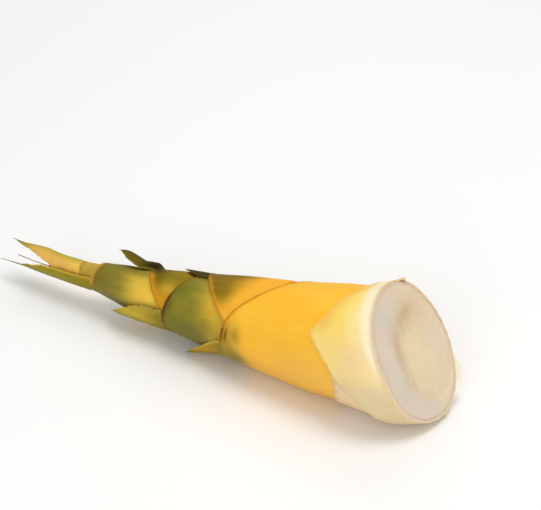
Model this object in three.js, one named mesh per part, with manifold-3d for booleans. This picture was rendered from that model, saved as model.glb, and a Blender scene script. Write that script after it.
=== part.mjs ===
// Bamboo shoot, cut from its stem and lying on its side, cut face toward +X and tip toward -X.
//
// Millimetres, +Z up. The shoot is solid flesh wrapped in overlapping leaf sheaths. Everything is laid
// out along one curved axis: a station s is a distance from the cut toward the tip, and an angle a is
// measured round the axis, 0 on top, 90 on the +Y side, 180 underneath and 270 on the -Y side.
// One body surface is shared by every layer. A sheath lies just under it, and dives under the sheath
// below it wherever that one covers it, so no layer ever crosses another.

import * as THREE from 'three';
import Module from 'manifold-3d';
import { mergeVertices } from 'three/addons/utils/BufferGeometryUtils.js';

const wasm = await Module();
wasm.setup();

// ---- Driving dimensions ----------------------------------------------------------------------

// Body surface
const BODY_RADIUS = 39.5;
const BODY_LENGTH = 262; // where the taper would close
const TAPER_POWER = 0.77;
const LEAST_TAPER = 0.004; // keeps the surface open past that end
const BASE_FLARE = 2.8; // swollen lowest node
const FLARE_LENGTH = 45;

// Axis: height over the table as a curve in s / 100
const AXIS_HEIGHT = 42;
const AXIS_CURVE = [-18.8, 5.75, -0.58];
const AXIS_STRAIGHT_FROM = 220;

// Oblique cut, and the edge that rolls in toward it
const CUT_STATION = 0.5;
const CUT_SLOPE_UP = 0.294;
const CUT_SLOPE_SIDE = -0.033;
const CUT_ROLL_LENGTH = 20;
const CUT_PASSES = 6; // times that a cut station is refined
const CUT_ROLL = { mean: 3.97, up: -1.53, side: -1.49, up2: -3.22, side2: 0.89 };

// Flattened underside that carries the shoot
const SETTLE_DEPTH = 1.5;
const SETTLE_FROM = -2;
const SETTLE_TO = 104;
const SETTLE_FADE_IN = 10;
const SETTLE_FADE_OUT = 12;
const SETTLE_POWER = 6; // keeps it to the underside

// Layers
const GAP = 0.4;
const RISE_LENGTH = 20; // a covered sheath comes back to the body surface over this length
const LEDGE_LENGTH = 3.5; // step in the flesh just before a sheath's root
const LEDGE_MARGIN = 0.5;
const SIDES = 32;
const ROW_CROWDING = 1.15; // rows stand closer together at the margin

// Flesh
const FLESH_LEVEL = 17.5; // from here on its stations are square to the axis
const FLESH_END = 150;
const FLESH_ROUNDING = 14;
const FLESH_BLUNTNESS = 0.85; // 1 would round its end off to nothing
const FLESH_STEP = 9;
const END_CAP = 0.8; // how far the point that closes an end stands past the last ring
const DISC_SHARE = 0.6; // sunken disc in the cut face: the rim shrunk toward a point close to it
const DISC_TOWARD = 123.75; // angle and share of the way out of that point, so the shelf is on -Y
const DISC_TOWARD_SHARE = 0.9;
const DISC_DEPTH = 2.9;
const DISC_BOWL = 0.5;
const DISC_WALL = 0.44; // share of the way from there to the rim that the sloping wall takes
const DISC_RINGS = [0.25, 0.55, 0.8, 1];
const RIM_RINGS = [0.2, 0.42, 0.7]; // shares of the way from the cut to the level stations

// Innermost rolled leaf
const HEART_START = 152;
const HEART_BARE_FROM = 232;
const HEART_TIP = 287;
const HEART_TIP_RADIUS = 0.35;
const HEART_TAPER_POWER = 5;
const HEART_LEAN = 3.3;
const HEART_LEAN_SPEED = 1.7;
const HEART_LEAN_BACK = 0.35; // share of the lean that the point loses again
const HEART_ROOT_SHARE = 0.6;
const HEART_SIDES = 16;
const HEART_STEP = 7;

// Which side a sheath's blade is on: the leaves stand in two opposite ranks
const UPPER_RANK = 39;
const LOWER_RANK = 219;

// Thin skin that stands past the cut on the far side
const FLAP = {
  from: 112, to: 153, length: 4.5, point: 1.3, thickness: 0.6, sink: 0.15, root: 3, rows: 3, sides: 6,
};

// Sheaths from the outside in. start: station of the root, or null at the cut. rim: station of the
// margin under the blade and on the opposite side. A torn margin is given as [angle, station] corners.
// A slit sheath is open: its arms overlap between the two slit angles. A swell thickens one side.
// A blade is given by knots [share of length, lift over the rim, half-angle it spans]. It starts to
// leave the body a lead before the rim, and hug is how closely the foot of its edges keeps to the body.
const SHEATHS = [
  {
    name: 'sheath_1', color: 0xf3d98a, start: null, thickness: 0.8, swell: 2.3, edgeLength: 28,
    edgeShare: 0.75, rows: 7,
    torn: [[0, 29], [33.75, 28], [56.25, 36], [90, 31], [123.75, 42], [157.5, 33], [180, 25],
      [213.75, 17], [236.25, 15.5], [247.5, 21.5], [258.75, 28.5], [281.25, 38.5], [303.75, 50],
      [326.25, 42], [348.75, 36], [360, 29]],
  },
  {
    name: 'sheath_2', color: 0xead2bd, start: null, thickness: 0.75, edgeLength: 12, edgeShare: 0.8,
    rows: 8, torn: [[0, 24], [45, 21], [90, 26], [135, 34], [180, 42], [225, 40], [247.5, 35],
      [270, 33], [303.75, 29], [360, 24]],
  },
  {
    name: 'sheath_3', color: 0xe8b548, start: 22, thickness: 1.8, rows: 13, rank: LOWER_RANK,
    rim: [115.5, 73], rimPower: 2.5, slit: [22.5, 56.25],
    blade: {
      length: 31,
      knots: [
        [0, -0.3, 46], [0.15, -0.8, 42], [0.3, -0.9, 35], [0.6, 0.7, 20], [0.8, 2.1, 12], [1, 3.9, 2],
      ],
    },
  },
  {
    name: 'sheath_4', color: 0xd9ab45, start: 60, thickness: 1.6, rows: 11, rank: UPPER_RANK,
    rim: [143, 97], rimPower: -1,
    blade: { length: 21, knots: [[0, 0, 36], [0.3, -0.5, 37], [0.6, -1, 28], [0.8, -1.3, 16], [1, -1.6, 2]] },
  },
  {
    name: 'sheath_5', color: 0x8f9440, start: 86, thickness: 1.6, rows: 9, rank: LOWER_RANK,
    rim: [161.5, 142], rimPower: 2.5,
    blade: {
      length: 44.5,
      knots: [
        [0, 0, 58], [0.25, -0.1, 60], [0.5, -0.3, 53], [0.75, -0.8, 32], [0.88, -1, 22], [1, -1.7, 4],
      ],
    },
  },
  {
    name: 'sheath_6', color: 0x9a8f3e, start: 114, thickness: 1.5, rows: 8, rank: UPPER_RANK,
    rim: [184, 154], rimPower: -0.75,
    blade: {
      length: 31,
      root: 7,
      lead: 6,
      hug: 1,
      knots: [[0, 3.9, 30], [0.15, 3.2, 37], [0.3, 2.7, 39], [0.5, 4.2, 34], [0.7, 5.6, 24],
        [0.85, 5.8, 15], [1, 4.8, 2]],
    },
  },
  {
    name: 'sheath_7', color: 0x87883b, start: 140, thickness: 1.4, rows: 9, rank: LOWER_RANK,
    rim: [222.5, 220], rimPower: 3,
    blade: {
      length: 77,
      knots: [[0, 0.2, 72], [0.25, 0, 67], [0.5, -0.5, 62], [0.62, -0.9, 47], [0.75, -1.6, 20],
        [0.88, -1.5, 10], [1, -1.3, 3]],
    },
  },
  {
    name: 'sheath_8', color: 0xcfae58, start: 166, thickness: 1.3, rows: 8, rank: UPPER_RANK,
    rim: [235.5, 231], rimPower: 2,
    blade: {
      length: 60,
      knots: [[0, 0, 124], [0.25, -0.5, 134], [0.35, -0.2, 124], [0.41, 0.1, 106], [0.52, 0.9, 86],
        [0.68, 0.4, 64], [0.83, -0.3, 42], [1, 0.5, 5]],
    },
  },
];

const EDGE_SHARE = 0.56; // a sheath thins to this share of its thickness at the margin
const EDGE_LENGTH = 20;
const SWELL_TOWARD = 290; // side of the sheath that swells
const SWELL_POWER = 1.5;
const ARM_DROP = 0.5; // fall of a slit sheath's margin for each degree past the half turn
const OVERLAP_FADE = 22.5; // angle over which the overlap of its arms dies out
const BLADE_THICKNESS = 0.75;
const BLADE_PROUD = 0.12; // how far a blade's root stands over its sheath
const BLADE_ROOT = 4;
const BLADE_LEAD = 1.8;
const BLADE_RISE = 6; // length over which a blade leaves the body
const BLADE_CLEARANCE = 0.8; // least height of a blade over the table
const BLADE_ROWS = 10;
const BLADE_SIDES = 6;

// Plain colours and surfaces
const FLESH_COLOR = 0xdfd0b4;
const HEART_COLOR = 0xb59a55;
const SATIN = 0.5;
const DULL = 0.6;
const MERGE_DISTANCE = 1e-5;

// ---- Small helpers ---------------------------------------------------------------------------

const clamp01 = (t) => Math.min(1, Math.max(0, t));

const smooth = (t) => {
  const c = clamp01(t);
  return c * c * (3 - 2 * c);
};

const radians = (degrees) => degrees * Math.PI / 180;

const mix = (p, q, t) => p + (q - p) * t;

// Signed difference of two angles, between -180 and 180.
const turn = (a, b) => ((a - b + 540) % 360 + 360) % 360 - 180;

// Straight-line interpolation through [key, value, ...] rows; returns the value in the given column.
function lookUp(rows, key, column = 1) {
  let i = 1;
  while (i < rows.length - 1 && key > rows[i][0]) {
    i += 1;
  }
  const t = clamp01((key - rows[i - 1][0]) / (rows[i][0] - rows[i - 1][0]));
  return mix(rows[i - 1][column], rows[i][column], t);
}

// ---- Body surface ----------------------------------------------------------------------------

// Height of the axis over the table; past the curve it runs on straight.
function axisHeight(s) {
  const q = Math.min(s, AXIS_STRAIGHT_FROM) / 100;
  const height = AXIS_HEIGHT + AXIS_CURVE[0] * q + AXIS_CURVE[1] * q * q + AXIS_CURVE[2] * q * q * q;
  return height + axisSlope(s) * Math.max(0, s - AXIS_STRAIGHT_FROM);
}

function axisSlope(s) {
  const q = Math.min(s, AXIS_STRAIGHT_FROM) / 100;
  return (AXIS_CURVE[0] + 2 * AXIS_CURVE[1] * q + 3 * AXIS_CURVE[2] * q * q) / 100;
}

// Point at station s, angle a and distance r from the axis.
function at(s, a, r) {
  const slope = axisSlope(s);
  const run = 1 / Math.hypot(1, slope);
  const up = r * Math.cos(radians(a));
  return [-s + up * slope * run, r * Math.sin(radians(a)), axisHeight(s) + up * run];
}

// Distance from the axis at which a point at station s and angle a is at the given height.
function toTable(s, a, height) {
  const down = -Math.cos(radians(a));
  return down > 0 ? (axisHeight(s) - height) * Math.hypot(1, axisSlope(s)) / down : Infinity;
}

const cutSlope = (a) => CUT_SLOPE_UP * Math.cos(radians(a)) + CUT_SLOPE_SIDE * Math.sin(radians(a));

// How far the surface has rolled in where it meets the cut.
function cutRoll(a) {
  const t = radians(a);
  return CUT_ROLL.mean + CUT_ROLL.up * Math.cos(t) + CUT_ROLL.side * Math.sin(t)
    + CUT_ROLL.up2 * Math.cos(2 * t) + CUT_ROLL.side2 * Math.sin(2 * t);
}

// Distance from the axis to the outside of the shoot.
function bodyRadius(s, a) {
  const taper = BODY_RADIUS * Math.max(LEAST_TAPER, 1 - s / BODY_LENGTH) ** TAPER_POWER;
  const flare = BASE_FLARE * (1 - smooth(s / FLARE_LENGTH));
  const fromCut = Math.max(0, s - CUT_STATION - BODY_RADIUS * cutSlope(a));
  const roll = cutRoll(a) * Math.max(0, 1 - fromCut / CUT_ROLL_LENGTH) ** 2;
  const down = Math.max(0, -Math.cos(radians(a)));
  const settled = smooth((s - SETTLE_FROM) / SETTLE_FADE_IN) * smooth((SETTLE_TO - s) / SETTLE_FADE_OUT);
  const sag = SETTLE_DEPTH * settled * down ** SETTLE_POWER;
  return Math.min(toTable(s, a, 0), taper + flare - roll + sag);
}

// Station where a surface at this depth under the body meets the plane of the cut.
function cutStation(a, depth) {
  let s = CUT_STATION;
  for (let i = 0; i < CUT_PASSES; i += 1) {
    s = CUT_STATION + (bodyRadius(s, a) - depth(s, a)) * cutSlope(a);
  }
  return s;
}

// ---- Sheath layers ---------------------------------------------------------------------------

// Station of a sheath's margin. Slit sheaths carry angles past a full turn on their outer arm.
function margin(sheath, a) {
  if (sheath.torn) {
    return lookUp(sheath.torn, a);
  }
  const [high, low] = sheath.rim;
  const away = Math.abs(sheath.slit ? a - sheath.rank : turn(a, sheath.rank));
  const u = (1 - Math.cos(radians(Math.min(away, 180)))) / 2;
  const drop = sheath.rimPower > 0 ? u ** sheath.rimPower : 1 - (1 - u) ** -sheath.rimPower;
  return high - (high - low) * drop - ARM_DROP * Math.max(0, away - 180);
}

// Angle brought into the range that a sheath's margin is written in.
function ownAngle(sheath, a) {
  const first = sheath.slit ? sheath.slit[0] : 0;
  return first + ((a - first) % 360 + 360) % 360;
}

// Thickness of a sheath's wall.
function wall(sheath, s, a) {
  const thinned = smooth(1 + (s - margin(sheath, a)) / (sheath.edgeLength ?? EDGE_LENGTH));
  const swell = (sheath.swell ?? 0) * Math.max(0, Math.cos(radians(a - SWELL_TOWARD))) ** SWELL_POWER;
  return mix(sheath.thickness + swell, sheath.thickness * (sheath.edgeShare ?? EDGE_SHARE), thinned);
}

// 1 where the arms of a slit sheath lie over each other, 0 away from there.
function doubled(sheath, a) {
  if (!sheath.slit) {
    return 0;
  }
  const [first, last] = sheath.slit;
  const outside = Math.abs(turn(a, (first + last) / 2)) - (last - first) / 2;
  return smooth(1 - outside / OVERLAP_FADE);
}

// Room that one sheath takes between the body surface and everything inside it.
function room(sheath, s, angle) {
  const a = ownAngle(sheath, angle);
  const edge = margin(sheath, a);
  const full = wall(sheath, Math.min(s, edge), a) + GAP;
  return full * (1 + doubled(sheath, a)) * (1 - smooth((s - edge - GAP) / RISE_LENGTH));
}

// Depth of sheath number i under the body surface.
function depthOf(i, s, a) {
  let depth = 0;
  for (let j = 0; j < i; j += 1) {
    depth += room(SHEATHS[j], s, a);
  }
  return depth;
}

// Depth of the flesh: a sheath only takes room past its own root.
function coreDepth(s, a) {
  let depth = 0;
  for (const sheath of SHEATHS) {
    const past = s - sheath.start + LEDGE_LENGTH + LEDGE_MARGIN;
    const rooted = sheath.start === null ? 1 : smooth(past / LEDGE_LENGTH);
    if (rooted > 0) {
      depth += rooted * room(sheath, s, a);
    }
  }
  return depth;
}

// ---- Solids ----------------------------------------------------------------------------------

// Closed solid from triangles; flips them all if they face inward.
function solid(points, triangles) {
  let volume = 0;
  for (const [i, j, k] of triangles) {
    const [p, q, r] = [points[i], points[j], points[k]];
    volume += p[0] * (q[1] * r[2] - q[2] * r[1]) + p[1] * (q[2] * r[0] - q[0] * r[2])
      + p[2] * (q[0] * r[1] - q[1] * r[0]);
  }
  const faces = volume > 0 ? triangles : triangles.map(([i, j, k]) => [i, k, j]);
  const mesh = new wasm.Mesh({
    numProp: 3,
    vertProperties: new Float32Array(points.flat()),
    triVerts: new Uint32Array(faces.flat()),
  });
  return new wasm.Manifold(mesh);
}

// Two facing grids of points, [row][column], joined round their edges into one thin solid.
function shell(outer, inner, ring) {
  const rows = outer.length;
  const columns = outer[0].length;
  const points = [...outer.flat(), ...inner.flat()];
  const triangles = [];
  const top = (r, c) => r * columns + (c % columns);
  const bottom = (r, c) => rows * columns + top(r, c);
  const quad = (p, q, r, t) => triangles.push([p, q, r], [p, r, t]);
  const lastColumn = ring ? columns : columns - 1;
  for (let c = 0; c < lastColumn; c += 1) {
    for (let r = 0; r < rows - 1; r += 1) {
      quad(top(r, c), top(r, c + 1), top(r + 1, c + 1), top(r + 1, c));
      quad(bottom(r, c), bottom(r + 1, c), bottom(r + 1, c + 1), bottom(r, c + 1));
    }
    quad(top(0, c), bottom(0, c), bottom(0, c + 1), top(0, c + 1));
    quad(top(rows - 1, c), top(rows - 1, c + 1), bottom(rows - 1, c + 1), bottom(rows - 1, c));
  }
  for (let r = 0; r < rows - 1 && !ring; r += 1) {
    quad(top(r, 0), top(r + 1, 0), bottom(r + 1, 0), bottom(r, 0));
    quad(top(r, lastColumn), bottom(r, lastColumn), bottom(r + 1, lastColumn), top(r + 1, lastColumn));
  }
  return solid(points, triangles);
}

// Rings of points closed at both ends by a single point.
function spindle(rings, first, last) {
  const columns = rings[0].length;
  const points = [...rings.flat(), first, last];
  const triangles = [];
  const end = (rings.length - 1) * columns;
  for (let c = 0; c < columns; c += 1) {
    const d = (c + 1) % columns;
    for (let r = 0; r < rings.length - 1; r += 1) {
      const p = r * columns;
      triangles.push([p + c, p + d, p + columns + d], [p + c, p + columns + d, p + columns + c]);
    }
    triangles.push([points.length - 2, d, c], [points.length - 1, end + c, end + d]);
  }
  return solid(points, triangles);
}

// Wall of one sheath, from its root or the cut to its margin.
function sheathBody(sheath, index) {
  const ring = !sheath.slit;
  const first = ring ? 0 : sheath.slit[0];
  const span = ring ? 360 : 360 + sheath.slit[1] - sheath.slit[0];
  const columns = Math.round(span * SIDES / 360) + (ring ? 0 : 1);
  const outer = [];
  const inner = [];
  for (let r = 0; r <= sheath.rows; r += 1) {
    const share = 1 - (1 - r / sheath.rows) ** ROW_CROWDING;
    outer.push([]);
    inner.push([]);
    for (let c = 0; c < columns; c += 1) {
      const a = first + c * 360 / SIDES;
      // the arm at the low end of the angles is the one underneath
      const under = ring || a > first + 180 ? 0 : doubled(sheath, a);
      const edge = margin(sheath, a);
      const outerDepth = (s) => depthOf(index, s, a) + under * (wall(sheath, s, a) + GAP);
      const innerDepth = (s) => outerDepth(s) + wall(sheath, s, a);
      const outerStart = sheath.start ?? cutStation(a, outerDepth);
      const innerStart = sheath.start ?? cutStation(a, innerDepth);
      const outerStation = mix(outerStart, edge, share);
      const innerStation = mix(innerStart, edge, share);
      outer[r].push(at(outerStation, a, bodyRadius(outerStation, a) - outerDepth(outerStation)));
      inner[r].push(at(innerStation, a, bodyRadius(innerStation, a) - innerDepth(innerStation)));
    }
  }
  return shell(outer, inner, ring);
}

// Leaf blade: a curved tongue that carries on from the rim and leaves the body, rooted in the wall.
function blade(sheath) {
  const { length, knots, root = BLADE_ROOT, lead = BLADE_LEAD, hug = 0 } = sheath.blade;
  const rimRadius = bodyRadius(sheath.rim[0], sheath.rank) + BLADE_PROUD;
  const outer = [];
  const inner = [];
  for (let r = 0; r <= BLADE_ROWS; r += 1) {
    const along = mix(-root, length, r / BLADE_ROWS);
    const risen = smooth((along + lead) / BLADE_RISE);
    const t = Math.max(0, along / length);
    const spread = lookUp(knots, t, 2);
    outer.push([]);
    inner.push([]);
    for (let c = 0; c <= BLADE_SIDES; c += 1) {
      const across = 2 * c / BLADE_SIDES - 1;
      const a = sheath.rank + spread * across;
      const s = mix(margin(sheath, a), margin(sheath, sheath.rank), t) + along;
      const free = rimRadius + lookUp(knots, t, 1) * (1 - hug * across * across * (1 - t));
      const held = bodyRadius(s, a) + BLADE_PROUD;
      const radius = Math.min(mix(held, free, risen), toTable(s, a, BLADE_CLEARANCE));
      outer[r].push(at(s, a, radius));
      inner[r].push(at(s, a, radius - BLADE_THICKNESS));
    }
  }
  return shell(outer, inner, false);
}

// Pointed scrap of thin skin that runs on past the cut.
function flap() {
  const outer = [];
  const inner = [];
  for (let r = 0; r <= FLAP.rows; r += 1) {
    outer.push([]);
    inner.push([]);
    for (let c = 0; c <= FLAP.sides; c += 1) {
      const a = mix(FLAP.from, FLAP.to, c / FLAP.sides);
      const reach = FLAP.length * Math.max(0, Math.sin(Math.PI * c / FLAP.sides)) ** FLAP.point;
      const s = cutStation(a, () => FLAP.sink) + mix(FLAP.root, -reach, r / FLAP.rows);
      const radius = bodyRadius(s, a) - FLAP.sink;
      outer[r].push(at(s, a, radius));
      inner[r].push(at(s, a, radius - FLAP.thickness));
    }
  }
  return shell(outer, inner, false);
}

// Stations from one end to the other, no further apart than the step, with one at each end of a ledge.
function stationsBetween(from, to, step) {
  const ledges = SHEATHS.filter((sheath) => sheath.start > from && sheath.start < to)
    .flatMap(({ start }) => [start - LEDGE_MARGIN - LEDGE_LENGTH, start - LEDGE_MARGIN]);
  const knots = [from, ...ledges, to];
  const stations = [];
  for (let i = 1; i < knots.length; i += 1) {
    const count = Math.ceil((knots[i] - knots[i - 1]) / step);
    for (let k = 0; k < count; k += 1) {
      stations.push(mix(knots[i - 1], knots[i], k / count));
    }
  }
  return [...stations, to];
}

const aroundAngles = (count) => Array.from({ length: count }, (_, c) => c * 360 / count);

// Solid flesh: the cut face with its sunken disc, then rings down to the rounded inner end.
function flesh() {
  const angles = aroundAngles(SIDES);
  const rings = [];
  const rim = angles.map((a) => {
    const s = cutStation(a, coreDepth);
    return at(s, a, bodyRadius(s, a) - coreDepth(s, a));
  });
  const centre = [0, 1, 2].map((i) => rim.reduce((sum, p) => sum + p[i], 0) / SIDES);
  const between = (p, q, t) => p.map((v, i) => mix(v, q[i], t));
  const inward = [-1, 0, -CUT_SLOPE_UP].map((v) => v / Math.hypot(1, CUT_SLOPE_UP));
  const sunk = (p, depth) => p.map((v, i) => v + depth * inward[i]);
  // the disc is level with the shelf at the point it shrinks toward, and deepest on the far side
  const toward = between(centre, rim[Math.round(DISC_TOWARD * SIDES / 360)], DISC_TOWARD_SHARE);
  const reach = rim.map((p) => Math.hypot(p[1] - toward[1], p[2] - toward[2]));
  const depths = reach.map((r) => DISC_DEPTH * r / Math.max(...reach));
  const edge = rim.map((p) => between(toward, p, DISC_SHARE));
  const floor = edge.map((p, i) => sunk(p, depths[i]));
  const hub = [0, 1, 2].map((i) => floor.reduce((sum, p) => sum + p[i], 0) / SIDES);
  for (const share of DISC_RINGS) {
    rings.push(floor.map((p) => sunk(between(hub, p, share), DISC_BOWL * (1 - share * share))));
  }
  rings.push(edge.map((p, i) => between(p, rim[i], DISC_WALL)));
  rings.push(rim);
  const first = sunk(hub, DISC_BOWL);
  for (const share of RIM_RINGS) {
    rings.push(angles.map((a) => {
      const s = mix(cutStation(a, coreDepth), FLESH_LEVEL, share);
      return at(s, a, bodyRadius(s, a) - coreDepth(s, a));
    }));
  }
  for (const s of stationsBetween(FLESH_LEVEL, FLESH_END, FLESH_STEP)) {
    const fromEnd = clamp01((FLESH_END - s) / FLESH_ROUNDING);
    const round = Math.sqrt(1 - (1 - fromEnd) ** 2 * FLESH_BLUNTNESS);
    rings.push(angles.map((a) => at(s, a, (bodyRadius(s, a) - coreDepth(s, a)) * round)));
  }
  return spindle(rings, first, at(FLESH_END + END_CAP, 0, 0));
}

// Innermost rolled leaf: fills the tip inside the sheaths and runs out into a thin point.
function heartLeaf() {
  const angles = aroundAngles(HEART_SIDES);
  const bareRadius = (a) => bodyRadius(HEART_BARE_FROM, a) - coreDepth(HEART_BARE_FROM, a);
  const rings = [];
  for (const s of stationsBetween(HEART_START, HEART_TIP, HEART_STEP)) {
    const bare = clamp01((s - HEART_BARE_FROM) / (HEART_TIP - HEART_BARE_FROM));
    const lean = HEART_LEAN * smooth(bare * HEART_LEAN_SPEED) * (1 - HEART_LEAN_BACK * bare ** 4);
    rings.push(angles.map((a) => {
      const snug = bodyRadius(s, a) - coreDepth(s, a);
      const free = mix(HEART_TIP_RADIUS, bareRadius(a), (1 - bare) ** HEART_TAPER_POWER);
      const radius = (s === HEART_START ? HEART_ROOT_SHARE : 1) * (bare > 0 ? free : snug);
      const p = at(s, a, radius);
      const q = at(s, LOWER_RANK, lean);
      const o = at(s, 0, 0);
      return p.map((v, i) => v + q[i] - o[i]);
    }));
  }
  const last = at(HEART_TIP + END_CAP, LOWER_RANK, HEART_LEAN * (1 - HEART_LEAN_BACK));
  return spindle(rings, at(HEART_START - END_CAP, 0, 0), last);
}

// ---- Assembly --------------------------------------------------------------------------------

// Named mesh with its own plain material, from a solid.
function toMesh(name, body, color, roughness) {
  const { numProp, vertProperties, triVerts } = body.getMesh();
  const geometry = new THREE.BufferGeometry();
  const positions = new Float32Array((vertProperties.length / numProp) * 3);
  for (let i = 0; i < positions.length / 3; i += 1) {
    for (let k = 0; k < 3; k += 1) {
      positions[i * 3 + k] = vertProperties[i * numProp + k];
    }
  }
  geometry.setAttribute('position', new THREE.BufferAttribute(positions, 3));
  geometry.setIndex([...triVerts]);
  const merged = mergeVertices(geometry, MERGE_DISTANCE);
  const mesh = new THREE.Mesh(merged, new THREE.MeshStandardMaterial({ color, roughness, metalness: 0 }));
  mesh.name = name;
  return mesh;
}

const group = new THREE.Group();
group.name = 'bamboo_shoot';
group.add(toMesh('flesh', flesh(), FLESH_COLOR, DULL));

SHEATHS.forEach((sheath, index) => {
  let body = sheathBody(sheath, index);
  if (sheath.blade) {
    body = body.add(blade(sheath));
  }
  if (index === 0) {
    body = body.add(flap());
  }
  group.add(toMesh(sheath.name, body, sheath.color, SATIN));
});

group.add(toMesh('heart_leaf', heartLeaf(), HEART_COLOR, DULL));

// The row frame's origin is under the middle of the shoot, on the table.
const box = new THREE.Box3().setFromObject(group);
const middle = box.getCenter(new THREE.Vector3());
for (const mesh of group.children) {
  mesh.geometry.translate(-middle.x, -middle.y, -box.min.z);
}

export default group;
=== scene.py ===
# Dresses the bamboo shoot: every CAD piece is replaced by a fine one laid out by the same dimensions.
#
# Lengths are millimetres and angles degrees, unless a name says otherwise. A station s is a distance
# from the cut toward the tip along the curved axis. An angle a is measured round the axis: 0 on top,
# 90 on the +Y side, 180 underneath and 270 on the -Y side, which the camera sees.
import functools
import math

import bpy
import numpy as np
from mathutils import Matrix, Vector


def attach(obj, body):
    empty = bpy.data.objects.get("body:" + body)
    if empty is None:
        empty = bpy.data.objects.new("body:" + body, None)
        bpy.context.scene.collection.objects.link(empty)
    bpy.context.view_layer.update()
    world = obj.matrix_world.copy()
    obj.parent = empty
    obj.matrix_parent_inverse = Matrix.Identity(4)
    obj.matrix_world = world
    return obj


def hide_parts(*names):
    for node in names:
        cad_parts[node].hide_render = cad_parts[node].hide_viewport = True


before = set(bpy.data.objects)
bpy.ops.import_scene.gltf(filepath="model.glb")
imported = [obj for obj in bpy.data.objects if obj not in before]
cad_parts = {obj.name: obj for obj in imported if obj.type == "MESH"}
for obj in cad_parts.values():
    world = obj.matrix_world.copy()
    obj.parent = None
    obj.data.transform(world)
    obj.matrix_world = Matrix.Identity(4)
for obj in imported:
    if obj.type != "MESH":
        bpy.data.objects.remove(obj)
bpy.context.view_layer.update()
MM = 0.001

# ---- Driving dimensions, the CAD's own ----

# Body surface
BODY_RADIUS = 39.5
BODY_LENGTH = 262  # where the taper would close
TAPER_POWER = 0.77
LEAST_TAPER = 0.004
BASE_FLARE = 2.8  # swollen lowest node
FLARE_LENGTH = 45

# Axis: height over the table as a curve in s / 100
AXIS_HEIGHT = 42
AXIS_CURVE = (-18.8, 5.75, -0.58)
AXIS_STRAIGHT_FROM = 220

# Oblique cut, and the edge that rolls in toward it
CUT_STATION = 0.5
CUT_SLOPE_UP = 0.294
CUT_SLOPE_SIDE = -0.033
CUT_ROLL_LENGTH = 20
CUT_ROLL = (3.97, -1.53, -1.49, -3.22, 0.89)  # mean, up, side, and the last two twice round
CUT_PASSES = 6

# Flattened underside that carries the shoot
SETTLE_DEPTH = 1.5
SETTLE_FROM = -2
SETTLE_TO = 104
SETTLE_FADE_IN = 10
SETTLE_FADE_OUT = 12
SETTLE_POWER = 6

# Layers
GAP = 0.4
RISE_LENGTH = 20  # a covered sheath comes back to the body surface over this length
LEDGE_LENGTH = 3.5  # step in the flesh just before a sheath's root
LEDGE_MARGIN = 0.5
EDGE_SHARE = 0.56  # a sheath thins to this share of its thickness at the margin
EDGE_LENGTH = 20
SWELL_TOWARD = 290
SWELL_POWER = 1.5
ARM_DROP = 0.5  # fall of a slit sheath's margin for each degree past the half turn
OVERLAP_FADE = 22.5

# Flesh, and the sunken disc in its cut face: the rim shrunk toward a point close to it
FLESH_END = 150
FLESH_ROUNDING = 14
FLESH_BLUNTNESS = 0.85
END_CAP = 0.8
DISC_SHARE = 0.6
DISC_TOWARD = 123.75
DISC_TOWARD_SHARE = 0.9
DISC_DEPTH = 2.9
DISC_BOWL = 0.5
DISC_WALL = 0.44

# Innermost rolled leaf
HEART_START = 152
HEART_BARE_FROM = 232
HEART_TIP = 287
HEART_TIP_RADIUS = 0.26
HEART_TAPER_POWER = 5
HEART_LEAN = 3.3
HEART_LEAN_SPEED = 1.7
HEART_LEAN_BACK = 0.35
HEART_ROOT_SHARE = 0.6

# Blades, in two opposite ranks
UPPER_RANK = 39
LOWER_RANK = 219
BLADE_PROUD = 0.12
BLADE_ROOT = 4
BLADE_LEAD = 1.8
BLADE_RISE = 6  # length over which a blade leaves the body
BLADE_CLEARANCE = 0.8  # least height of a blade over the table

# Thin skin that stands past the cut on the far side
FLAP = dict(start=112, end=153, length=4.5, point=1.3, sink=0.15, root=3)

# Sheaths from the outside in. start: station of the root, or None at the cut. rim: station of the
# margin under the blade and on the opposite side. A torn margin is given as (angle, station) corners.
# A slit sheath is open: its arms overlap between the two slit angles. A swell thickens one side.
# A blade has a length and knots (share of length, lift over the rim, half-angle it spans). It starts to
# leave the body a lead before the rim, and hug is how closely the foot of its edges keeps to the body.

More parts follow.
